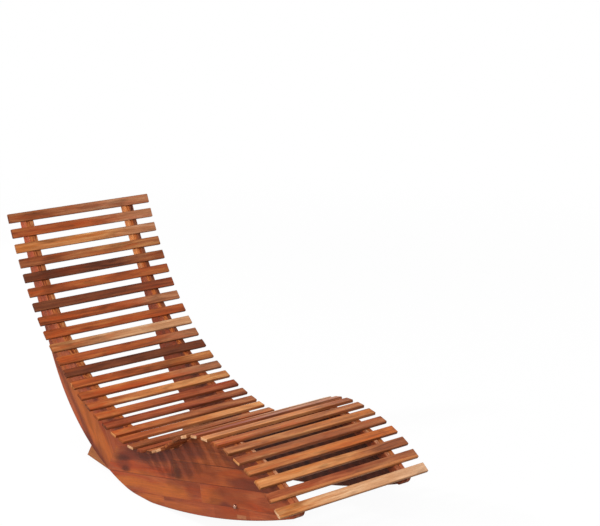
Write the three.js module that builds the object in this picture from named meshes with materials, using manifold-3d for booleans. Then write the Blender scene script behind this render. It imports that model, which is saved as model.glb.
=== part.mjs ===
// Rocking chaise lounge in oiled hardwood: slats on two curved side frames that are also its rockers.
// Lengths are millimetres and angles are degrees. X runs from the head to the foot, Y to the
// sitter's left and Z up. The origin is on the floor, under the middle of the whole piece.

import * as THREE from 'three';
import { mergeVertices } from 'three/addons/utils/BufferGeometryUtils.js';
import Module from 'manifold-3d';

const wasm = await Module();
wasm.setup();

// Slats: two evenly spaced runs, and a closer step where the back's run meets the seat's
const backSlatCount = 18;
const seatSlatCount = 17;
const backPitch = 56;
const meetingPitch = 46.3;
const seatPitch = 57.1;
const slatLength = 600;
const slatWidth = 34;
const slatThickness = 11;
const slatRound = 2.5;

// Lying line: tangent arcs through the slats' upper faces, each with its share of the line's length
const headSlope = -68.2;
const neckSweep = 10.6;
const backSweep = 48.8;
const hollowSweep = 47;
const kneeSweep = -42.2;
const calfSweep = -34.5;
const neckShare = 0.152;
const backShare = 0.375;
const hollowShare = 0.15;
const kneeShare = 0.135;
const calfShare = 1 - neckShare - backShare - hollowShare - kneeShare;

// Side frames: an outer board that is the rocker, with a batten under the slats on its inner face
const slatOverhang = 67.7;
const boardThickness = 17;
const battenThickness = 17;
const battenDepth = 33;
const battenJointSlat = 21;
const spaceShare = 0.5;
const headDepth = 37.6;
const footDepth = 18;
const footReach = 6;
const footRound = 14;
const headRound = 8;
const cornerSteps = 5;
const boardRound = 2;
const seatInset = 1.5;
const facetLength = 22;

// Rocker curve: it rests on a short flat below the balance point, with arcs before and behind it
const soleDrop = 215.5;
const restBehindHollow = 41.6;
const restFlat = 72;
const rearSoleSweep = 12.4;
const rearSoleRadiusShare = 0.1774;
const heelRadiusShare = 0.3558;
const backRadiusShare = 1.7;
const frontSoleRadiusShare = 0.12;
const calfRadiusShare = 1.549;

// Boards glued up into each side: the grain climbs towards the foot
const mitreSlat = 17;
const mitreSlope = 59.3;
const staveSlope = 12.5;
const staveWidth = 64;
const glueLineHeight = 85.7;
const seatButt = 204.7;
const lowerButt = 344.7;
const rearSoleButt = 117.7;

// Heel braces across the mitres, on the inner faces: their raked rear ends stop the rocking
const braceEndSlope = 33.6;
const braceOverhang = 79.6;
const braceSlope = -5.5;
const braceHeight = 100;
const braceLength = 330;

// Tie rod between the calves, with a cap nut on the outer face of each side board
const rodAhead = 531.7;
const rodAboveSole = 143.5;
const rodRadius = 4;
const rodEdge = 1;
const rodClearance = 0.3;
const rodSides = 16;
const nutRadius = 7.5;
const nutHeight = 8;
const nutBore = 5;
const nutSkirt = 2;
const nutDomeSteps = 3;

// Gap of a glued or seated joint, and how far a cutter runs past what it cuts
const jointGap = 0.3;
const overrun = 5;

// Colour of each slat, from the head to the foot
const slatTones = [
  'brown', 'red', 'golden', 'brown', 'dark', 'orange', 'dark', 'orange', 'orange', 'golden',
  'orange', 'dark', 'orange', 'brown', 'golden', 'red', 'brown', 'golden', 'brown', 'golden',
  'brown', 'orange', 'orange', 'orange', 'brown', 'red', 'brown', 'golden', 'orange', 'red',
  'orange', 'golden', 'golden', 'brown', 'pale'
];

const backRun = (backSlatCount - 1) * backPitch;
const seatStart = backRun + meetingPitch;
const lineLength = seatStart + (seatSlatCount - 1) * seatPitch;
const lyingArcs = [
  { sweep: neckSweep, share: neckShare },
  { sweep: backSweep, share: backShare },
  { sweep: hollowSweep, share: hollowShare },
  { sweep: kneeSweep, share: kneeShare },
  { sweep: calfSweep, share: calfShare }
];
const boardOuter = slatLength / 2 - slatOverhang;
const boardInner = boardOuter - boardThickness;
const battenOuter = boardInner - jointGap;
const rad = THREE.MathUtils.degToRad;

function woodMaterial(color) {
  return new THREE.MeshStandardMaterial({ color, roughness: 0.45, metalness: 0 });
}

const woods = {
  pale: woodMaterial(0xc79a74),
  golden: woodMaterial(0xb9743b),
  orange: woodMaterial(0xb05c2a),
  brown: woodMaterial(0x8f4f2e),
  red: woodMaterial(0x8e4630),
  dark: woodMaterial(0x5e3220)
};

const steel = new THREE.MeshStandardMaterial({ color: 0xb9b4aa, roughness: 0.35, metalness: 1 });

// Vectors in the side view, as [x, z]
const along = (slope) => [Math.cos(slope), Math.sin(slope)];
const plus = (a, b, scale = 1) => [a[0] + b[0] * scale, a[1] + b[1] * scale];
const minus = (a, b) => plus(a, b, -1);
const length = (a) => Math.hypot(a[0], a[1]);
const angleOf = (a) => Math.atan2(a[1], a[0]);
const normalOf = (slope) => along(slope + Math.PI / 2);

// Point and slope of the lying line at a distance from the middle of the first slat
function lyingLine(distance) {
  let point = [0, 0];
  let slope = rad(headSlope);
  let left = distance;
  for (const [index, { sweep, share }] of lyingArcs.entries()) {
    const arcLength = share * lineLength;
    const last = index === lyingArcs.length - 1;
    const step = last ? left : Math.min(left, arcLength);
    const turn = rad(sweep) * step / arcLength;
    const radius = arcLength / rad(sweep);
    const chord = minus(normalOf(slope), normalOf(slope + turn));
    point = plus(point, chord, radius);
    slope += turn;
    left -= step;
    if (left <= 0) {
      break;
    }
  }
  return { point, slope };
}

// Distance along the lying line to the lowest point of the seat's hollow
function hollowDistance() {
  let slope = headSlope;
  let distance = 0;
  for (const { sweep, share } of lyingArcs) {
    const arcLength = share * lineLength;
    if (slope + sweep > 0) {
      return distance + arcLength * -slope / sweep;
    }
    slope += sweep;
    distance += arcLength;
  }
  return distance;
}

// Distances of the slats' middles along the lying line
const slatStations = [
  ...Array.from({ length: backSlatCount }, (_, index) => index * backPitch),
  ...Array.from({ length: seatSlatCount }, (_, index) => seatStart + index * seatPitch)
];
const hollow = lyingLine(hollowDistance()).point;
const restPoint = [hollow[0] - restBehindHollow, hollow[1] - soleDrop];

// Point at a depth below the slats' undersides, shifted along the tangent at a slat's middle
function underSlat(station, shift, depth) {
  const { point, slope } = lyingLine(station);
  const onTangent = plus(point, along(slope), shift);
  return plus(onTangent, normalOf(slope), -(slatThickness + jointGap + depth));
}

// Edge that carries the slats: a flat seat under each slat, joined across the spaces
const halfSeat = slatWidth / 2 - seatInset;
const seatEdge = (stations) => stations.flatMap((station) => [
  underSlat(station, -halfSeat, 0),
  underSlat(station, halfSeat, 0)
]);

function arcPoints(centre, radius, from, to) {
  const steps = Math.ceil(Math.abs(to - from) * radius / facetLength);
  return Array.from({ length: steps + 1 }, (_, index) => {
    const angle = from + (to - from) * index / steps;
    return plus(centre, along(angle), radius);
  });
}

// Centre of the circle of a radius that passes through a point and holds a smaller circle, tangent to it
function outerTangentCentre(radius, inner, innerRadius, through, side) {
  const gap = minus(through, inner);
  const distance = length(gap);
  const reach = radius - innerRadius;
  const foot = (distance * distance + reach * reach - radius * radius) / (2 * distance);
  const rise = Math.sqrt(reach * reach - foot * foot);
  const direction = angleOf(gap);
  return plus(plus(inner, along(direction), foot), normalOf(direction), rise * side);
}

const headCorner = underSlat(slatStations[0], -halfSeat, headDepth);
const footCorner = underSlat(lineLength, halfSeat + footReach, footDepth);

const rearSoleRadius = rearSoleRadiusShare * lineLength;
const heelRadius = heelRadiusShare * lineLength;
const backRadius = backRadiusShare * lineLength;
const frontSoleRadius = frontSoleRadiusShare * lineLength;
const calfRadius = calfRadiusShare * lineLength;

const down = -Math.PI / 2;
const rearSoleCentre = [restPoint[0] - restFlat / 2, restPoint[1] + rearSoleRadius];
const heelStart = down - rad(rearSoleSweep);
const heelCentre = plus(rearSoleCentre, along(heelStart), rearSoleRadius - heelRadius);
const backCentre = outerTangentCentre(backRadius, heelCentre, heelRadius, headCorner, -1);
const frontSoleCentre = [restPoint[0] + restFlat / 2, restPoint[1] + frontSoleRadius];
const calfCentre = outerTangentCentre(calfRadius, frontSoleCentre, frontSoleRadius, footCorner, 1);

// Angle of a point about a centre, measured so that the underside runs from the foot to the head
function below(point, centre) {
  const angle = angleOf(minus(point, centre));
  return angle > 0 ? angle - 2 * Math.PI : angle;
}

function rockerEdge() {
  const calfEnd = below(frontSoleCentre, calfCentre);
  const backStart = below(heelCentre, backCentre);
  return [
    ...arcPoints(calfCentre, calfRadius, below(footCorner, calfCentre), calfEnd),
    ...arcPoints(frontSoleCentre, frontSoleRadius, calfEnd, down).slice(1),
    ...arcPoints(rearSoleCentre, rearSoleRadius, down, heelStart),
    ...arcPoints(heelCentre, heelRadius, heelStart, backStart).slice(1),
    ...arcPoints(backCentre, backRadius, backStart, below(headCorner, backCentre)).slice(1)
  ];
}

// Points that round a corner off, from one named distance before it to the same distance after it
function easedCorner(before, corner, after, size) {
  const start = plus(corner, along(angleOf(minus(before, corner))), size);
  const end = plus(corner, along(angleOf(minus(after, corner))), size);
  return new THREE.QuadraticBezierCurve(
    new THREE.Vector2(...start),
    new THREE.Vector2(...corner),
    new THREE.Vector2(...end)
  ).getPoints(cornerSteps).map(({ x, y }) => [x, y]);
}

// The whole side in one outline: the seat edge, the foot, the rocker and the head
function sideOutline() {
  const seat = seatEdge(slatStations);
  const apart = (point, corner, size) => length(minus(point, corner)) > size;
  const rocker = rockerEdge().filter((point) => {
    return apart(point, footCorner, footRound) && apart(point, headCorner, headRound);
  });
  return [
    ...seat,
    ...easedCorner(seat[seat.length - 1], footCorner, rocker[0], footRound),
    ...rocker,
    ...easedCorner(rocker[rocker.length - 1], headCorner, seat[0], headRound)
  ];
}

// Distance along the lying line to the space after a slat, counted from one at the head
function spaceAfter(slatNumber) {
  const [before, after] = slatStations.slice(slatNumber - 1, slatNumber + 1);
  return before + spaceShare * (after - before);
}

// A flat piece cut to a side-view outline, with eased edges, between two distances from the middle
function sidePiece(outline, inner, outer, round = 0) {
  const shape = new THREE.Shape(outline.map(([x, z]) => new THREE.Vector2(x, z)));
  const geometry = new THREE.ExtrudeGeometry(shape, {
    depth: outer - inner - 2 * round,
    bevelEnabled: round > 0,
    bevelThickness: round,
    bevelSize: round,
    bevelOffset: -round,
    bevelSegments: 1
  });
  geometry.rotateX(Math.PI / 2);
  geometry.translate(0, outer - round, 0);
  return geometry;
}

function toSolid(geometry) {
  const bare = geometry.clone();
  bare.deleteAttribute('normal');
  bare.deleteAttribute('uv');
  const merged = mergeVertices(bare.index ? bare.toNonIndexed() : bare);
  const vertProperties = new Float32Array(merged.attributes.position.array);
  const triVerts = new Uint32Array(merged.index.array);
  return new wasm.Manifold(new wasm.Mesh({ numProp: 3, vertProperties, triVerts }));
}

function toGeometry(solid) {
  const mesh = solid.getMesh();
  const geometry = new THREE.BufferGeometry();
  geometry.setAttribute('position', new THREE.BufferAttribute(mesh.vertProperties, 3));
  geometry.setIndex(new THREE.BufferAttribute(mesh.triVerts, 1));
  geometry.computeVertexNormals();
  return geometry;
}

// A cutter in the side view: a block from one corner to another in axes turned about an origin
function turnedBlock(origin, slope, low, high) {
  const width = high[0] - low[0];
  const height = high[1] - low[1];
  const block = new THREE.BoxGeometry(width, 2 * slatLength, height);
  block.translate(low[0] + width / 2, 0, low[1] + height / 2);
  block.rotateY(-slope);
  block.translate(origin[0], 0, origin[1]);
  return toSolid(block);
}

// Rows of glued staves in the seat side, in axes along the grain from above the rest point
function staveTable() {
  const far = lineLength;
  return [
    { name: 'seat_block', low: [-far, 0], high: [seatButt, far], tone: 'orange' },
    { name: 'knee_stave', low: [seatButt, staveWidth], high: [far, far], tone: 'red' },
    { name: 'middle_stave', low: [seatButt, 0], high: [far, staveWidth], tone: 'red' },
    { name: 'lower_rear_stave', low: [-far, -staveWidth], high: [lowerButt, 0], tone: 'brown' },
    { name: 'lower_front_stave', low: [lowerButt, -staveWidth], high: [far, 0], tone: 'brown' },
    { name: 'rear_sole_stave', low: [-far, -far], high: [rearSoleButt, -staveWidth], tone: 'orange' },
    { name: 'front_sole_stave', low: [rearSoleButt, -far], high: [far, -staveWidth], tone: 'orange' }
  ];
}

const rodCentre = [restPoint[0] + rodAhead, restPoint[1] + rodAboveSole];

function rodBore() {
  const radius = rodRadius + rodClearance;
  const bore = new THREE.CylinderGeometry(radius, radius, 2 * slatLength, rodSides);
  bore.translate(rodCentre[0], 0, rodCentre[1]);
  return toSolid(bore);
}

// Boards of the right or the left side, given as -1 or 1: the back board and the staves below the seat
function sideBoards(side) {
  const inner = side > 0 ? boardInner : -boardOuter;
  const body = toSolid(sidePiece(sideOutline(), inner, inner + boardThickness, boardRound));
  const whole = body.subtract(rodBore());
  const mitreTop = underSlat(slatStations[mitreSlat - 1], slatWidth / 2, 0);
  const far = lineLength;
  const half = jointGap / 2;
  const behind = turnedBlock(mitreTop, rad(mitreSlope), [-far, half], [far, 2 * far]);
  const ahead = turnedBlock(mitreTop, rad(mitreSlope), [-far, -2 * far], [far, -half]);
  const seatSide = whole.intersect(ahead);
  const grainOrigin = [restPoint[0], restPoint[1] + glueLineHeight];
  const boards = [{ name: 'back_board', geometry: toGeometry(whole.intersect(behind)), tone: 'brown' }];
  for (const { name, low, high, tone } of staveTable()) {
    const inset = [half, half];
    const block = turnedBlock(grainOrigin, rad(staveSlope), plus(low, inset), minus(high, inset));
    boards.push({ name, geometry: toGeometry(seatSide.intersect(block)), tone });
  }
  return boards;
}

// Battens of the right or the left side: a strip under the slats, in two lengths that butt in a space
function battens(side) {
  const inner = side > 0 ? battenOuter - battenThickness : -battenOuter;
  const body = toSolid(sidePiece(sideOutline(), inner, inner + battenThickness, boardRound));
  const spaces = slatStations.slice(1).map((_, index) => spaceAfter(index + 1));
  const stations = [-backPitch, ...slatStations, ...spaces, lineLength + seatPitch].sort((a, b) => a - b);
  const strip = [
    ...stations.map((station) => underSlat(station, 0, -overrun)),
    ...stations.map((station) => underSlat(station, 0, battenDepth)).reverse()
  ];
  const whole = body.intersect(toSolid(sidePiece(strip, -slatLength, slatLength)));
  const { point, slope } = lyingLine(spaceAfter(battenJointSlat));
  const far = lineLength;
  const half = jointGap / 2;
  const behind = turnedBlock(point, slope, [-far, -far], [-half, far]);
  const ahead = turnedBlock(point, slope, [half, -far], [far, far]);
  return [
    { name: 'back_batten', geometry: toGeometry(whole.intersect(behind)), tone: 'brown' },
    { name: 'seat_batten', geometry: toGeometry(whole.intersect(ahead)), tone: 'orange' }
  ];
}

function slatGeometry() {
  const w = slatWidth / 2 - slatRound;
  const t = slatThickness / 2 - slatRound;
  const shape = new THREE.Shape();
  shape.absarc(w, t, slatRound, 0, Math.PI / 2);
  shape.absarc(-w, t, slatRound, Math.PI / 2, Math.PI);
  shape.absarc(-w, -t, slatRound, Math.PI, 1.5 * Math.PI);
  shape.absarc(w, -t, slatRound, 1.5 * Math.PI, 2 * Math.PI);
  const geometry = new THREE.ExtrudeGeometry(shape, {
    depth: slatLength - 2 * slatRound,
    curveSegments: 1,
    bevelThickness: slatRound,
    bevelSize: slatRound,
    bevelOffset: -slatRound,
    bevelSegments: 2
  });
  geometry.translate(0, 0, slatRound - slatLength / 2);
  geometry.rotateX(Math.PI / 2);
  return geometry;
}

// The brace's rear end stands out behind the rocker's curve, square to it; its front end is square
function heelBrace(side) {
  const outward = down - rad(braceEndSlope);
  const lowerSlope = rad(braceSlope);
  const rear = plus(heelCentre, along(outward), heelRadius + braceOverhang);
  const front = plus(rear, along(lowerSlope), braceLength);
  const rise = normalOf(lowerSlope);
  const lean = outward + Math.PI;
  const rearLength = braceHeight / Math.cos(lean - angleOf(rise));
  const outline = [rear, plus(rear, along(lean), rearLength), plus(front, rise, braceHeight), front];
  const inner = side > 0 ? battenOuter - battenThickness : -battenOuter;
  return sidePiece(outline, inner, inner + battenThickness, boardRound);
}

// The rod runs along Y, and its ends stop short of the bottoms of the cap nuts
function rodGeometry() {
  const end = boardOuter + nutBore;
  return new THREE.LatheGeometry([
    new THREE.Vector2(0, -end),
    new THREE.Vector2(rodRadius - rodEdge, -end),
    new THREE.Vector2(rodRadius, rodEdge - end),
    new THREE.Vector2(rodRadius, end - rodEdge),
    new THREE.Vector2(rodRadius - rodEdge, end),
    new THREE.Vector2(0, end)
  ], rodSides);
}

// A cap nut along +Y, with its open face at the origin
function nutGeometry() {
  const bore = rodRadius + rodClearance;
  const dome = new THREE.QuadraticBezierCurve(
    new THREE.Vector2(nutRadius, nutSkirt),
    new THREE.Vector2(nutRadius, nutHeight),
    new THREE.Vector2(0, nutHeight)
  ).getPoints(nutDomeSteps);
  return new THREE.LatheGeometry([
    new THREE.Vector2(0, nutBore + rodClearance),
    new THREE.Vector2(bore, nutBore + rodClearance),
    new THREE.Vector2(bore, 0),
    new THREE.Vector2(nutRadius, 0),
    ...dome
  ], rodSides);
}

const lounger = new THREE.Group();

function addPiece(name, geometry, material) {
  const piece = new THREE.Mesh(geometry, material);
  piece.name = name;
  lounger.add(piece);
  return piece;
}

const slat = slatGeometry();
slatStations.forEach((station, index) => {
  const { point, slope } = lyingLine(station);
  const centre = plus(point, normalOf(slope), -slatThickness / 2);
  const piece = addPiece(`slat_${String(index + 1).padStart(2, '0')}`, slat, woods[slatTones[index]]);
  piece.position.set(centre[0], 0, centre[1]);
  piece.rotation.y = -slope;
});

for (const [sideName, side] of [['right', -1], ['left', 1]]) {
  for (const { name, geometry, tone } of [...sideBoards(side), ...battens(side)]) {
    addPiece(`${sideName}_${name}`, geometry, woods[tone]);
  }
  addPiece(`${sideName}_heel_brace`, heelBrace(side), woods.golden);
  const nut = addPiece(`${sideName}_cap_nut`, nutGeometry(), steel);
  nut.position.set(rodCentre[0], side * (boardOuter + jointGap), rodCentre[1]);
  nut.rotation.x = side > 0 ? 0 : Math.PI;
}

const rod = addPiece('calf_tie_rod', rodGeometry(), steel);
rod.position.set(rodCentre[0], 0, rodCentre[1]);

// Stand the lounger on the floor, with the origin under the middle of its box
const box = new THREE.Box3().setFromObject(lounger, true);
lounger.position.set(-(box.min.x + box.max.x) / 2, 0, -box.min.z);

export default lounger;
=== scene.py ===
import math
from collections import namedtuple

import bpy
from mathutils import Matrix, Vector


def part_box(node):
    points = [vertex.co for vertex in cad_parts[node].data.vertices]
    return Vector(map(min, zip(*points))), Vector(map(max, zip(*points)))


# Rocking chaise lounge in oiled hardwood. Metres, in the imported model's frame:
# +X from the head to the foot, +Y to the sitter's left, +Z up, floor at z = 0.
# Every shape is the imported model's own. This script adds the materials, the light and the camera.
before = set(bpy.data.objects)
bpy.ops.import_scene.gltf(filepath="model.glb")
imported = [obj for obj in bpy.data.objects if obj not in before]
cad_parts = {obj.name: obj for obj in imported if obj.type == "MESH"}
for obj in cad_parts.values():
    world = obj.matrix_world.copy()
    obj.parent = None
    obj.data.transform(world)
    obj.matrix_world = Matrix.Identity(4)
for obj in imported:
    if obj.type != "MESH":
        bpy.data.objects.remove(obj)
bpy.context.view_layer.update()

# The camera of the photograph: angles in degrees, lens and sensor in millimetres
CAMERA_PLACE = (4.1532, -2.9450, 2.0576)
CAMERA_AZIMUTH = 50.89
CAMERA_ELEVATION = 13.96
CAMERA_LENS = 93.6
SENSOR_WIDTH = 36.0

WHITE = (1.0, 1.0, 1.0, 1.0)

# Tones of the oiled wood, as sRGB hex: streak, body, light figure and warm mottle
STREAK, BODY, LIGHT, MOTTLE = range(4)
TONES = {
    # The first tone paints a pale sheen and highlight on the slats' far ends
    "sheen_pale": ("b48464", "dcb08c", "ecccb0", "cc9872"),
    "pale": ("b07850", "d8a276", "ecc8a0", "cb8c5e"),
    "honey": ("a8683a", "de9658", "f0b680", "d08040"),
    "golden": ("8c5026", "c47c48", "daa268", "c06a2a"),
    "amber": ("763e1c", "a8643a", "c88a54", "b65420"),
    "glow": ("8a3a18", "be662e", "d28244", "c05c20"),
    "orange": ("682e14", "a6542c", "c2783e", "b24818"),
    "russet": ("602412", "a45030", "be6e42", "b04018"),
    "brown": ("582a16", "945230", "b27448", "9c461e"),
    "red": ("581f12", "8c4224", "ac603a", "9c3814"),
    "dark": ("32160c", "6c3822", "885032", "7a3416"),
    "rose": ("824a32", "b47650", "d09e7c", "b66644"),
    "purple": ("361410", "662c1e", "84452f", "782e1a"),
    "black": ("140907", "26120d", "3e2019", "30150e"),
}


def linear(tone):
    """The linear colour, with alpha, of an sRGB hex tone."""
    channels = [int(tone[i : i + 2], 16) / 255 for i in (0, 2, 4)]
    return (
        *((c / 12.92 if c <= 0.04045 else ((c + 0.055) / 1.055) ** 2.4) for c in channels),
        1.0,
    )


def colours_of(tone):
    """The four linear colours of a tone of the wood."""
    return [linear(colour) for colour in TONES[tone]]


class Nodes:
    """The node tree of a material or a world, with short calls for the nodes that they share."""

    def __init__(self, owner, output="OutputMaterial"):
        owner.use_nodes = True
        self.tree = owner.node_tree
        self.tree.nodes.clear()
        self.output = self.add(output)

    def add(self, kind, inputs=None, **settings):
        """A new node, with these settings and with its inputs, by name or number, linked or set."""
        node = self.tree.nodes.new("ShaderNode" + kind)
        for key, value in settings.items():
            setattr(node, key, value)
        for key, value in (inputs or {}).items():
            self.put(node.inputs[key], value)
        return node

    def put(self, socket, value):
        """Links an output socket to this input, or sets the input to a plain value."""
        if isinstance(value, bpy.types.NodeSocket):
            self.tree.links.new(value, socket)
        else:
            socket.default_value = value

    def show(self, shader):
        self.put(self.output.inputs["Surface"], shader.outputs[0])

    def math(self, operation, a, b=0.0, c=0.0, clamp=False):
        inputs = {0: a, 1: b, 2: c}
        return self.add("Math", inputs, operation=operation, use_clamp=clamp).outputs[0]

    def vector(self, operation, a, b):
        return self.add("VectorMath", {0: a, 1: b}, operation=operation).outputs[0]

    def blended(self, values, shares):
        """The sum of each value times its share."""
        total = 0.0
        for value, share in zip(values, shares):
            total = self.math("MULTIPLY_ADD", value, share, total)
        return total

    def shifted(self, value, noise, amount):
        """A value moved by up to half the amount each way, as the noise says."""
        return self.math("MULTIPLY_ADD", self.math("SUBTRACT", noise, 0.5), amount, value)

    def length(self, a, b):
        """How far a and b reach together, at right angles to each other."""
        return self.math("SQRT", self.math("MULTIPLY_ADD", b, b, self.math("MULTIPLY", a, a)))

    def parts(self, vector):
        return tuple(self.add("SeparateXYZ", {0: vector}).outputs)

    def turned(self, vector, turn, centre=None):
        """A place about a centre, or a direction where there is none, in the axes of the grain."""
        if centre is not None:
            vector = self.vector("SUBTRACT", vector, centre)
        inputs = {"Vector": vector, "Rotation": turn}
        return self.add("Mapping", inputs, vector_type="POINT").outputs[0]

    def noise(self, vector, kind, fineness=1.0, output="Fac"):
        """Noise of a kind, smaller with more fineness."""
        inputs = {
            "Vector": self.vector("MULTIPLY", vector, [fineness * wave for wave in kind.waves]),
            "Scale": 1.0,
            "Detail": kind.detail,
            "Roughness": kind.roughness,
            "Distortion": kind.distortion,
        }
        return self.add("TexNoise", inputs).outputs[output]

    def span(self, value, low, high, start=0.0, end=1.0):
        """Goes smoothly from start to end while the value goes from low to high."""
        inputs = {
            "Value": value,
            "From Min": low,
            "From Max": high,
            "To Min": start,
            "To Max": end,
        }
        return self.add("MapRange", inputs, interpolation_type="SMOOTHSTEP").outputs[0]

    def mix(self, factor, a, b, blend="MIX"):
        inputs = {"Factor": factor, "A": a, "B": b}
        return self.add("Mix", inputs, data_type="RGBA", blend_type=blend).outputs["Result"]

    def shaded(self, colour, value):
        """The colour times a grey value."""
        grey = self.add("CombineColor", {0: value, 1: value, 2: value})
        return self.mix(1.0, colour, grey.outputs[0], blend="MULTIPLY")

    def mixed_shader(self, factor, a, b):
        return self.add("MixShader", {0: factor, 1: a.outputs[0], 2: b.outputs[0]})

    def three_tones(self, value, low, middle, high, stops=(0.3, 0.5, 0.7)):
        """Three colours that follow each other while the value goes through the stops."""
        node = self.add("ValToRGB", {0: value})
        ramp = node.color_ramp
        ramp.elements[0].position, ramp.elements[0].color = stops[0], low
        ramp.elements[1].position, ramp.elements[1].color = stops[2], high
        ramp.elements.new(stops[1]).color = middle
        return node.outputs[0]

    def surface(self, colour, roughness, height, depth, strength, more):
        """A principled surface with a bump of this depth in metres, shown as the output."""
        bump = self.add("Bump", {"Height": height, "Distance": depth, "Strength": strength})
        inputs = {"Base Color": colour, "Roughness": roughness, "Normal": bump.outputs[0]}
        self.show(self.add("BsdfPrincipled", {**inputs, **more}))

    def seen_by_camera(self):
        """1 for rays from the camera and for what gloss and glass show of the background."""
        path = self.add("LightPath").outputs
        seen = self.math("MAXIMUM", path["Is Camera Ray"], path["Is Glossy Ray"])
        return self.math("MAXIMUM", seen, path["Is Transmission Ray"])


# Axes of the grain: along it, and the two at right angles to it
ALONG, ACROSS, THROUGH = range(3)

# Noises of the wood: waves per metre along, across and through the grain, and their form
Noise = namedtuple("Noise", "waves detail roughness distortion", defaults=(0.55, 0.0))
FIGURE = Noise((2.2, 60.0, 60.0), 4.0, 0.60, 0.4)
BROAD = Noise((2.4, 11.0, 11.0), 2.0, 0.50)
SPOTS = Noise((7.0, 48.0, 48.0), 2.0, 0.50, 0.6)
STRIPES = Noise((4.0, 170.0, 170.0), 2.0, 0.60)
RAGGED = Noise((7.0, 34.0, 34.0), 4.0, 0.60, 0.5)
CLOUD = Noise((10.0, 38.0, 38.0), 2.0, 0.55, 0.4)
FIBRE = Noise((11.0, 420.0, 420.0), 3.0, 0.65)
PORES = Noise((60.0, 1500.0, 1500.0), 1.0)
WARP = Noise((1.6, 5.0, 5.0), 2.0)

# How far one seed moves the noises in these directions, and where they start over
SEED_STEPS = (1.37, 0.613, 0.877)
SEED_ROUNDS = (7, 5, 3)

# Shares of the noises: of rings, figure, stripes, ragged and broad in the figure, of fibre and
# broad in the gloss, and of fibre, pores and rings in the height
FIGURE_SHARES = (0.25, 0.15, 0.12, 0.30, 0.18)
GLOSS_SHARES = (0.6, 0.4)
HEIGHT_SHARES = (0.7, -0.5, 0.5)

# Spans of a noise or a direction: from, to, and the values there
EMBER_SPAN = (0.50, 0.66, 0.0, 0.5)
CLOUD_SPAN = (0.30, 0.48, 0.74, 1.03)
FIBRE_SPAN = (0.3, 0.7, 0.84, 1.1)
DASH_SPAN = (0.60, 0.68, 0.0, 0.42)
PORE_SPAN = (0.55, 0.70, 0.0, 1.0)
ARRIS_SPAN = (0.9, 0.98, 0.5, 0.0)
ARRIS_PATCH_SPAN = (0.3, 0.6, 0.5, 1.0)
GLOSS_SPAN = (0.3, 0.7, 0.36, 0.56)
FACING_SPAN = (0.75, 0.95)

# Growth rings: how far they bend and how far the pith lies from the piece's centre, in metres,
# how many there are in a metre, how fast they change along the grain, and their form
BEND = (0.0, 0.07, 0.07)
PITH_NEAR = 0.045
PITH_SPREAD = 0.05
RINGS_PER_METRE = 130.0
RING_DRIFT = 0.9
RING_DETAIL = 3.0
RING_ROUGHNESS = 0.6

# Where the three colours of a figure lie about its middle, at a depth of 1, and on the sawn and
# the cut faces
TONE_SPREAD = 0.1
SAWN_STOPS = (0.38, 0.5, 0.64)
CUT_STOPS = (0.34, 0.5, 0.7)

# How far a change of tone strays, as a share of its own length
CHANGE_STRAY = 1.2

# Cut ends: how much of the rings' colour they take, how far that darkens to the streak's where
# they have no tone of their own, and how much rougher they are
CUT_SHARE = 0.9
CUT_DARKNESS = 0.45
CUT_ROUGHNESS = 0.22

# Depth in metres and strength of the wood's bump, and how shiny the oil is
BUMP_DEPTH = 0.0004
BUMP_STRENGTH = 0.55
OIL_SPECULAR = 0.1


def along_slope(degrees):
    """The turn that brings a grain in the side view to the first axis."""
    return (0.0, math.radians(degrees), 0.0)


def growth_rings(n, grain, seeds):
    """Growth rings about a pith beside the piece, bent by slow waves along the grain."""
    warp = n.noise(n.vector("ADD", grain, seeds), WARP, output="Color")
    bend = n.vector("MULTIPLY", n.vector("SUBTRACT", warp, (0.5, 0.5, 0.5)), BEND)
    along, across, through = n.parts(n.vector("ADD", grain, bend))
    reach = PITH_NEAR + PITH_SPREAD * (seeds[ACROSS] % 1.0)
    lean = math.tau * (seeds[THROUGH] % 1.0)
    across = n.math("ADD", across, reach * math.cos(lean))
    through = n.math("ADD", through, reach * math.sin(lean))
    place = n.add(
        "CombineXYZ",
        {
            0: n.math("MULTIPLY_ADD", along, RING_DRIFT, seeds[ALONG]),
            1: n.math("MULTIPLY", n.length(across, through), RINGS_PER_METRE),
        },
    )
    inputs = {
        "Vector": place.outputs[0],
        "Scale": 1.0,
        "Detail": RING_DETAIL,
        "Roughness": RING_ROUGHNESS,
    }
    return n.add("TexNoise", inputs, noise_dimensions="2D").outputs["Fac"]


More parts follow.
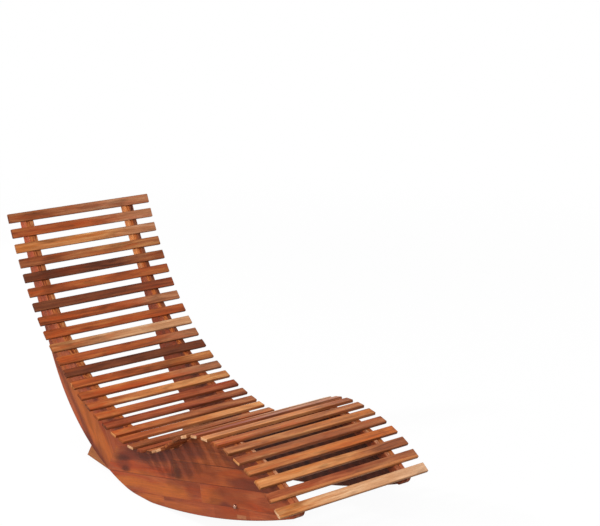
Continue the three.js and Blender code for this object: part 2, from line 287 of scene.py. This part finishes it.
def oiled_wood(
    name,
    tone,
    turn,
    centre,
    seed,
    depth,
    rim,
    marks,
    change=None,
    cut=None,
    arris=LIGHT,
    fineness=1.0,
):
    """Oiled hardwood. turn brings the grain to the first axis about the piece's centre, and depth
    is how strong the figure is. rim is the tone, axis and strength of the sawn narrow edges, a tone
    that paints their light and shade: the shade under the slats on most pieces, a highlight on a
    few.
    marks take the nodes, the colour, the place and a ragged noise, and return the colour with one
    more mark. change is (tone, axis, from, to) in metres: the tone takes over along that axis of
    the frame. cut is the tone of the cut ends where it isn't a darker form of the wood's own, and
    arris which of the tone's colours the arrises take: a light one paints wear and a highlight, a
    dark one paints shade. fineness is how small the clouds are."""
    material = bpy.data.materials.new(name)
    n = Nodes(material)
    place = n.add("TexCoord").outputs["Object"]
    seeds = tuple(seed * step % around for step, around in zip(SEED_STEPS, SEED_ROUNDS))
    grain = n.turned(place, turn, centre)
    seeded = n.vector("ADD", grain, seeds)
    axes = n.parts(place)

    rings = growth_rings(n, grain, seeds)
    even = (FIGURE, BROAD, STRIPES, FIBRE, PORES)
    figure, broad, stripes, fibre, pores = (n.noise(seeded, kind) for kind in even)
    cloudy = (SPOTS, RAGGED, CLOUD)
    spots, ragged, cloud = (n.noise(seeded, kind, fineness) for kind in cloudy)

    # The figure in the wood's tones, with warmer places, and the tone that it changes to
    value = n.blended((rings, figure, stripes, ragged, broad), FIGURE_SHARES)
    ember = n.span(spots, *EMBER_SPAN)
    spread = TONE_SPREAD / depth
    stops = (0.5 - spread, 0.5, 0.5 + spread)

    def figured(colours):
        return n.mix(ember, n.three_tones(value, *colours[:MOTTLE], stops=stops), colours[MOTTLE])

    tones = colours_of(tone)
    colour = figured(tones)
    if change:
        second, axis, start, end = change
        where = n.shifted(axes["XYZ".index(axis)], figure, (end - start) * CHANGE_STRAY)
        colour = n.mix(n.span(where, start, end), colour, figured(colours_of(second)))
    for mark in marks:
        colour = mark(n, colour, axes, ragged)

    # Darker clouds, fine fibres, and pores as short dark dashes along the grain
    colour = n.shaded(colour, n.span(cloud, *CLOUD_SPAN))
    colour = n.shaded(colour, n.span(fibre, *FIBRE_SPAN))
    colour = n.mix(n.span(pores, *DASH_SPAN), colour, tones[STREAK])

    # Arrises: a light tone paints wear and a highlight, a dark one paints shade. Sawn narrow edges,
    # whose tone paints their light and shade, and cut ends that show the rings
    facing = n.turned(n.add("NewGeometry").outputs["True Normal"], turn)
    directions = [n.math("ABSOLUTE", part) for part in n.parts(facing)]
    flatness = 0.0
    for direction in directions:
        flatness = n.math("MAXIMUM", flatness, direction)
    # Painted highlight and wear along the arrises in a light tone, painted shade in a dark one
    arris_wear_highlight_shade = n.math("MULTIPLY", n.span(flatness, *ARRIS_SPAN), n.span(spots, *ARRIS_PATCH_SPAN))
    colour = n.mix(arris_wear_highlight_shade, colour, tones[arris])

    # The narrow edges' tone paints the shade under the slats, and a highlight on a few edges
    rim_tone, axis, strength = rim
    sawn = n.three_tones(stripes, *colours_of(rim_tone)[:MOTTLE], stops=SAWN_STOPS)
    colour = n.mix(n.span(directions[axis], *FACING_SPAN, 0.0, strength), colour, sawn)

    end = n.span(directions[ALONG], *FACING_SPAN)
    cut_colour = n.three_tones(rings, *colours_of(cut or tone)[:MOTTLE], stops=CUT_STOPS)
    if not cut:
        cut_colour = n.mix(CUT_DARKNESS, cut_colour, tones[STREAK])
    colour = n.mix(n.math("MULTIPLY", end, CUT_SHARE), colour, cut_colour)

    gloss = n.span(n.blended((fibre, broad), GLOSS_SHARES), *GLOSS_SPAN)
    roughness = n.math("MULTIPLY_ADD", end, CUT_ROUGHNESS, gloss, clamp=True)
    height = n.blended((fibre, n.span(pores, *PORE_SPAN), rings), HEIGHT_SHARES)
    oil = {"Specular IOR Level": OIL_SPECULAR}
    n.surface(colour, roughness, height, BUMP_DEPTH, BUMP_STRENGTH, oil)
    return material


# How far from its middle, as a share of its reach, a block's edge begins and ends
BLOCK_EDGE = (0.94, 1.06)


def stain(tone, centre, reach, slope, strength, block=False, soft=0.45, ragged=0.9):
    """A mark in the side view, through the piece: a ragged soft cloud, or a block with a sharper
    edge, of a tone. centre is (x, z) and reach its half length and half height along a slope, in
    metres and degrees. soft and ragged are how wide and how uneven a cloud's edge is, as shares
    of its reach."""
    c, s = math.cos(math.radians(slope)), math.sin(math.radians(slope))

    def mark(n, colour, place, noise):
        x, _, z = place
        way = (n.math("SUBTRACT", x, centre[0]), n.math("SUBTRACT", z, centre[1]))
        along = n.math("DIVIDE", n.blended(way, (c, s)), reach[0])
        across = n.math("DIVIDE", n.blended(way, (-s, c)), reach[1])
        if block:
            distance = n.math("MAXIMUM", n.math("ABSOLUTE", along), n.math("ABSOLUTE", across))
            factor = n.span(distance, *BLOCK_EDGE, strength, 0.0)
        else:
            distance = n.shifted(n.length(along, across), noise, ragged * 2)
            factor = n.span(distance, 1 - soft, 1 + soft, strength, 0.0)
        return n.mix(factor, colour, linear(TONES[tone][BODY]))

    return mark


def sheen_end(tone, start, end, strength):
    """A ragged change of tone along Y, over whatever the piece has below it, used as a painted
    sheen.
    """

    def mark(n, colour, place, noise):
        where = n.shifted(place[1], noise, end - start)
        return n.mix(n.span(where, start, end, 0.0, strength), colour, linear(TONES[tone][BODY]))

    return mark


def dress(node, material):
    """Gives every face of a CAD node this material."""
    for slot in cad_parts[node].material_slots:
        slot.material = material


def middle(node):
    """The middle of a node's box."""
    low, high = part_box(node)
    return tuple((low + high) / 2)


# Slats: the tone of each, or the tones at the sitter's right and left and where the first gives
# way to the second, in metres along Y. The paler pink tones that take over toward the sitter's left
# are partly painted sheen, where the light from that side falls, and partly the wood's own tone
SLAT_WOODS = {
    1: ("brown", "rose", -0.20, 0.20),
    2: ("orange", "rose", -0.10, 0.25),
    3: ("golden", "rose", 0.05, 0.25),
    4: ("brown", "amber", -0.20, 0.10),
    5: ("dark", "brown", 0.08, 0.26),
    6: ("orange",),
    7: ("dark", "red", 0.00, 0.40),
    8: ("orange", "rose", 0.00, 0.25),
    9: ("orange",),
    10: ("amber", "pale", -0.35, 0.35),
    11: ("orange", "rose", 0.00, 0.25),
    12: ("dark",),
    13: ("orange", "golden", -0.15, 0.30),
    14: ("orange", "rose", 0.00, 0.20),
    15: ("orange", "golden", -0.25, -0.05),
    16: ("orange", "red", -0.22, -0.05),
    17: ("red", "brown", 0.05, 0.25),
    18: ("orange", "brown", -0.20, 0.00),
    19: ("orange", "golden", -0.15, 0.05),
    20: ("brown", "amber", 0.02, 0.25),
    21: ("red",),
    22: ("amber", "honey", -0.22, -0.05),
    23: ("amber", "golden", -0.20, 0.30),
    24: ("orange", "amber", 0.00, 0.25),
    25: ("brown", "sheen_pale", 0.08, 0.25),
    26: ("amber", "sheen_pale", -0.10, 0.28),
    27: ("red", "rose", -0.20, 0.25),
    28: ("golden", "brown", 0.06, 0.24),
    29: ("orange", "amber", -0.30, 0.00),
    30: ("brown", "golden", -0.30, 0.30),
    31: ("brown",),
    32: ("amber", "glow", -0.30, 0.50),
    33: ("golden", "brown", 0.04, 0.20),
    34: ("red", "brown", 0.00, 0.20),
    35: ("golden", "pale", -0.25, 0.02),
}

# Tones of the cut ends that differ from their slat
SLAT_ENDS = {
    1: "dark",
    2: "dark",
    12: "dark",
    13: "golden",
    15: "dark",
    17: "dark",
    18: "golden",
    20: "pale",
    22: "dark",
    23: "pale",
    26: "pale",
    27: "pale",
    28: "pale",
    31: "golden",
    35: "pale",
}

# Tones of the narrow edges: the dark one on most slats is painted shade along their edges, and the
# pale one is a painted highlight
SLAT_EDGES = {22: "pale", 34: "golden", 35: "golden"}
SLAT_EDGE_SHARE = 0.55

# Strips of another tone along the edge on the foot's side (tone, width, strength), and ends painted
# paler as a sheen and highlight (tone, from, to, strength)
SLAT_STRIPS = {34: ("golden", 0.010, 0.8)}
SLAT_SHEENS = {35: ("sheen_pale", 0.06, 0.30, 0.6)}

# Half the width of a slat, and how strong the slats' figure is
SLAT_HALF_WIDTH = 0.017
SLAT_DEPTH = 0.8


def slat_turn(node):
    """The turn that brings a slat's length to the first axis, and its face square to the third."""
    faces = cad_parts[node].data.polygons
    normal = max(faces, key=lambda face: face.area * (face.normal.z > 0)).normal
    return (0.0, math.atan2(-normal.x, normal.z), math.radians(-90))


def front_strip(node, tone, width, strength):
    """A strip of another tone along a slat's edge on the foot's side."""
    x, _, z = middle(node)
    slope = slat_turn(node)[1]
    out = SLAT_HALF_WIDTH - width / 2
    centre = (x + out * math.cos(slope), z + out * math.sin(slope))
    reach = (width / 2, SLAT_HALF_WIDTH)
    return stain(tone, centre, reach, math.degrees(slope), strength, block=True)


def slat_materials():
    for number, (tone, *change) in SLAT_WOODS.items():
        node = f"slat_{number:02d}"
        marks = []
        if number in SLAT_STRIPS:
            marks.append(front_strip(node, *SLAT_STRIPS[number]))
        if number in SLAT_SHEENS:
            marks.append(sheen_end(*SLAT_SHEENS[number]))
        wood = oiled_wood(
            node + "_wood",
            tone,
            slat_turn(node),
            middle(node),
            number,
            SLAT_DEPTH,
            (SLAT_EDGES.get(number, "dark"), ACROSS, SLAT_EDGE_SHARE),
            marks,
            change=(change[0], "Y", *change[1:]) if change else None,
            cut=SLAT_ENDS.get(number),
            # The slats' arrises take the streak's dark tone as painted shade
            arris=STREAK,
        )
        dress(node, wood)


# Slopes of the grain in the side view, in degrees above the foot's direction
STAVE_SLOPE = 12.5
BACK_SLOPE = -61.0
BATTEN_SLOPE = 0.0
BRACE_SLOPE = -5.5

# Side pieces: tone, slope of the grain, change of tone and tone of the narrow edges, which paints
# their light and shade: dark red under the slats on the staves, lighter on the back board and the
# battens, where light reaches them
SIDE_WOODS = {
    "back_board": ("russet", BACK_SLOPE, None, "orange"),
    "seat_block": ("russet", STAVE_SLOPE, None, "red"),
    "knee_stave": ("orange", STAVE_SLOPE, ("red", "X", 0.24, 0.56), "red"),
    "middle_stave": ("orange", STAVE_SLOPE, ("red", "X", 0.40, 0.66), "red"),
    "lower_rear_stave": ("russet", STAVE_SLOPE, None, "red"),
    "lower_front_stave": ("russet", STAVE_SLOPE, None, "red"),
    "rear_sole_stave": ("russet", STAVE_SLOPE, None, "red"),
    "front_sole_stave": ("russet", STAVE_SLOPE, None, "red"),
    "back_batten": ("orange", BACK_SLOPE, None, "amber"),
    "seat_batten": ("red", BATTEN_SLOPE, None, "rose"),
    "heel_brace": ("amber", BRACE_SLOPE, None, "amber"),
}

# Those of the left side's pieces that differ: darker tones and a dark narrow edge paint the shade
# on the far side, and the golden band at the top of the batten paints the light that reaches it
# there
LEFT_WOODS = {
    "back_board": ("red", BACK_SLOPE, None, "dark"),
    "back_batten": ("red", BACK_SLOPE, ("golden", "Z", 0.58, 0.68), "glow"),
}

# First seed of each side's woods, how strong their figure and their narrow edges' tone are, and
# how small their clouds
SIDE_SEEDS = {"right": 40, "left": 60}
SIDE_DEPTH = 0.45
SIDE_EDGE_SHARE = 0.9
SIDE_FINENESS = 0.5

# The inner faces of the side boards, darkened as painted shade between the two sides: between these
# distances from the middle plane the painted shade ends
INNER_SHADE_EDGE = (0.2160, 0.2175)
INNER_SHADE_STRENGTH = 0.75


def painted_inner_shade(n, colour, place, noise):
    """Paints shade on the face of a side board that looks to the other side."""
    factor = n.span(n.math("ABSOLUTE", place[1]), *INNER_SHADE_EDGE, INNER_SHADE_STRENGTH, 0.0)
    return n.mix(factor, colour, linear(TONES["black"][BODY]))


def glued(tone, along, up, strength):
    """A straight mark between two places along the staves and two across them, in metres."""
    c, s = math.cos(math.radians(STAVE_SLOPE)), math.sin(math.radians(STAVE_SLOPE))
    t, h = (along[0] + along[1]) / 2, (up[0] + up[1]) / 2
    reach = ((along[1] - along[0]) / 2, (up[1] - up[0]) / 2)
    return stain(tone, (t * c - h * s, t * s + h * c), reach, STAVE_SLOPE, strength, block=True)


# Glue lines, which show in both sides
GLUE_MARKS = {
    "seat_block": (
        glued("black", (-0.26, 0.20), (0.0905, 0.0921), 0.5),
        glued("black", (0.189, 0.192), (0.08, 0.26), 0.35),
    ),
    "knee_stave": (glued("black", (0.18, 0.74), (0.1545, 0.1562), 0.65),),
    "middle_stave": (
        glued("black", (0.18, 0.80), (0.1535, 0.1552), 0.6),
        glued("black", (0.18, 0.80), (0.0905, 0.0923), 0.65),
    ),
    "lower_rear_stave": (glued("purple", (-0.26, 0.34), (0.0895, 0.0912), 0.5),),
    "lower_front_stave": (
        glued("purple", (0.33, 0.84), (0.0895, 0.0912), 0.6),
        glued("rose", (0.3305, 0.3330), (0.02, 0.095), 0.35),
    ),
    "rear_sole_stave": (glued("purple", (-0.12, 0.11), (0.0255, 0.0270), 0.4),),
    "front_sole_stave": (
        glued("purple", (0.10, 0.83), (0.0255, 0.0270), 0.35),
        glued("rose", (0.1035, 0.1060), (-0.02, 0.03), 0.35),
    ),
}

# Stains and knots of the right side's boards, which the photograph shows
RIGHT_MARKS = {
    "back_board": (
        stain("glow", (-0.34, 0.17), (0.18, 0.040), -42, 0.8),
        stain("glow", (-0.50, 0.30), (0.16, 0.030), -52, 0.5),
        stain("purple", (-0.459, 0.226), (0.18, 0.017), -48.5, 0.65),
        stain("purple", (-0.36, 0.092), (0.14, 0.026), -32, 0.85),
        stain("purple", (-0.280, 0.084), (0.05, 0.020), -38, 0.4),
        stain("purple", (-0.612, 0.410), (0.14, 0.015), -54, 0.6),
    ),
    "seat_block": (
        stain("glow", (-0.04, 0.080), (0.12, 0.020), 14, 0.6),
        stain("glow", (-0.20, 0.115), (0.030, 0.030), 60, 0.6),
        stain("purple", (0.00, 0.172), (0.16, 0.024), 16, 0.8),
        stain("purple", (0.11, 0.205), (0.09, 0.036), 24, 0.6),
        stain("purple", (-0.150, 0.094), (0.050, 0.028), 14, 0.65),
        stain("black", (-0.152, 0.110), (0.050, 0.008), 14, 0.6, soft=0.6, ragged=0.5),
        stain("black", (-0.134, 0.077), (0.024, 0.011), 14, 0.6, soft=0.6, ragged=0.5),
        stain("black", (0.152, 0.165), (0.036, 0.012), 102, 0.5),
    ),
    "knee_stave": (
        stain("purple", (0.21, 0.245), (0.13, 0.030), 14, 0.75),
        stain("purple", (0.56, 0.272), (0.10, 0.018), -10, 0.6),
    ),
    "middle_stave": (
        stain("red", (0.30, 0.185), (0.14, 0.034), STAVE_SLOPE, 0.75),
        stain("black", (0.175, 0.160), (0.026, 0.026), STAVE_SLOPE, 0.65),
        stain("purple", (0.22, 0.185), (0.060, 0.024), STAVE_SLOPE, 0.6),
        stain("purple", (0.57, 0.235), (0.12, 0.022), STAVE_SLOPE, 0.7),
    ),
    "lower_rear_stave": (
        stain("glow", (0.12, 0.075), (0.12, 0.022), STAVE_SLOPE, 0.75),
        stain("glow", (-0.12, 0.035), (0.11, 0.018), 14, 0.8),
        stain("purple", (0.27, 0.125), (0.045, 0.024), STAVE_SLOPE, 0.4),
    ),
    "lower_front_stave": (
        stain("red", (0.48, 0.165), (0.10, 0.030), STAVE_SLOPE, 0.8),
        stain("purple", (0.43, 0.122), (0.085, 0.016), 8, 0.9),
        stain("glow", (0.36, 0.130), (0.060, 0.028), STAVE_SLOPE, 0.45),
    ),
    "rear_sole_stave": (stain("glow", (0.03, 0.020), (0.08, 0.016), STAVE_SLOPE, 0.6),),
    "front_sole_stave": (
        stain("glow", (0.20, 0.045), (0.12, 0.012), STAVE_SLOPE, 0.4),
        stain("purple", (0.478, 0.11), (0.096, 0.06), STAVE_SLOPE, 0.3, block=True),
        stain("rose", (0.528, 0.117), (0.024, 0.006), STAVE_SLOPE, 0.7, block=True),
    ),
}


def side_materials():
    own_marks = {"right": RIGHT_MARKS, "left": {}}
    own_woods = {"right": {}, "left": LEFT_WOODS}
    for side, first_seed in SIDE_SEEDS.items():
        for index, (piece, usual) in enumerate(SIDE_WOODS.items()):
            node = f"{side}_{piece}"
            tone, slope, change, rim_tone = own_woods[side].get(piece, usual)
            marks = GLUE_MARKS.get(piece, ()) + own_marks[side].get(piece, ())
            # Painted shade on the inner faces of the staves and the seat block
            if piece.endswith(("stave", "block")):
                marks += (painted_inner_shade,)
            wood = oiled_wood(
                node + "_wood",
                tone,
                along_slope(slope),
                middle(node),
                first_seed + index,
                SIDE_DEPTH,
                (rim_tone, THROUGH, SIDE_EDGE_SHARE),
                marks,
                change=change,
                fineness=SIDE_FINENESS,
            )
            dress(node, wood)


# Steel: its colours from dark to light, its mottle and the scratches, which run along the rod,
# the span of its roughness, and the depth and strength of its bump
STEEL_TONES = ("74584a", "967060", "b08a76")
STEEL_MOTTLE = Noise((300.0, 300.0, 300.0), 3.0)
STEEL_SCRATCHES = Noise((900.0, 90.0, 900.0), 2.0)
STEEL_GLOSS_SPAN = (0.3, 0.7, 0.34, 0.5)
STEEL_BUMP_DEPTH = 0.0001
STEEL_BUMP_STRENGTH = 0.3


def metal_materials():
    """Plain zinc-plated steel, dulled by oil, on the tie rod and its nuts."""
    zinc = bpy.data.materials.new("zinc_plated_steel")
    n = Nodes(zinc)
    place = n.add("TexCoord").outputs["Object"]
    mottle = n.noise(place, STEEL_MOTTLE)
    scratches = n.noise(place, STEEL_SCRATCHES)
    colour = n.three_tones(mottle, *(linear(tone) for tone in STEEL_TONES))
    gloss = n.span(mottle, *STEEL_GLOSS_SPAN)
    metal = {"Metallic": 1.0}
    n.surface(colour, gloss, scratches, STEEL_BUMP_DEPTH, STEEL_BUMP_STRENGTH, metal)
    for node in ("right_cap_nut", "left_cap_nut", "calf_tie_rod"):
        dress(node, zinc)


# Floor: half its side, and its grey as the object sees it. To the camera it is a white that takes
# shadows, mixed with a plain white glow, whose share grows to 1 between two distances
FLOOR_HALF = 40.0
FLOOR_GREY = 0.15
FLOOR_WHITE = 0.95
FLOOR_GLOW_SHARE = 0.94
FLOOR_GLOW_NEAR = 1.2
FLOOR_GLOW_FAR = 6.0


def make_floor():
    """A wide floor that keeps the object's shadow."""
    mesh = bpy.data.meshes.new("floor")
    h = FLOOR_HALF
    mesh.from_pydata([(-h, -h, 0), (h, -h, 0), (h, h, 0), (-h, h, 0)], [], [(0, 1, 2, 3)])
    floor = bpy.data.objects.new("floor", mesh)
    bpy.context.scene.collection.objects.link(floor)

    material = bpy.data.materials.new("floor_white")
    n = Nodes(material)
    plain = n.add("BsdfDiffuse", {"Color": (FLOOR_GREY, FLOOR_GREY, FLOOR_GREY, 1.0)})
    lit = n.add("BsdfDiffuse", {"Color": (FLOOR_WHITE, FLOOR_WHITE, FLOOR_WHITE, 1.0)})
    glow = n.add("Emission", {"Strength": 1.0})
    place = n.add("NewGeometry").outputs["Position"]
    distance = n.add("VectorMath", {0: place}, operation="LENGTH").outputs["Value"]
    share = n.span(distance, FLOOR_GLOW_NEAR, FLOOR_GLOW_FAR, FLOOR_GLOW_SHARE, 1.0)
    shown = n.mixed_shader(share, lit, glow)
    n.show(n.mixed_shader(n.seen_by_camera(), plain, shown))
    mesh.materials.append(material)


# How strongly the white world lights the object
WORLD_STRENGTH = 0.24


def make_world():
    """White to the camera, and a dimmer white as the object's soft light from all sides."""
    world = bpy.data.worlds.new("studio")
    bpy.context.scene.world = world
    n = Nodes(world, "OutputWorld")
    strength = n.span(n.seen_by_camera(), 0.0, 1.0, WORLD_STRENGTH, 1.0)
    n.show(n.add("Background", {"Color": WHITE, "Strength": strength}))


# Square lamps: place, aim, size in metres, and how bright a white card at the aim, turned to the
# lamp, gets from it
LAMPS = {
    "key": ((-2.95, -2.7, 3.2), (0.2, -0.1, 0.3), 0.35, 0.62),
    "front": ((3.6, -2.4, 3.2), (0.0, 0.0, 0.4), 2.6, 0.73),
    "side": ((1.0, -3.8, 1.5), (0.1, -0.2, 0.15), 2.0, 0.22),
    "left": ((0.9, 3.8, 2.4), (0.0, 0.0, 0.4), 2.4, 0.28),
    "rear": ((-3.6, 0.2, 1.2), (0.0, 0.0, 0.4), 2.0, 0.26),
}


def hang(name, data, place, direction):
    """Puts a lamp or a camera in the scene, looking in a direction, with its top up."""
    holder = bpy.data.objects.new(name, data)
    holder.location = place
    holder.rotation_mode = "QUATERNION"
    holder.rotation_quaternion = direction.to_track_quat("-Z", "Y")
    bpy.context.scene.collection.objects.link(holder)
    return holder


def make_lights():
    for name, (place, aim, size, share) in LAMPS.items():
        way = Vector(aim) - Vector(place)
        lamp = bpy.data.lights.new(name, "AREA")
        lamp.shape = "SQUARE"
        lamp.size = size
        lamp.energy = share * math.pi**2 * way.length_squared
        hang(name, lamp, place, way)


def make_camera():
    camera = bpy.data.cameras.new("camera")
    camera.lens = CAMERA_LENS
    camera.sensor_width = SENSOR_WIDTH
    a, e = math.radians(CAMERA_AZIMUTH), math.radians(CAMERA_ELEVATION)
    back = Vector((math.sin(a) * math.cos(e), -math.cos(a) * math.cos(e), math.sin(e)))
    bpy.context.scene.camera = hang("camera", camera, CAMERA_PLACE, -back)


slat_materials()
side_materials()
metal_materials()
make_floor()
make_world()
make_lights()
make_camera()
bpy.context.scene.view_settings.view_transform = "Standard"
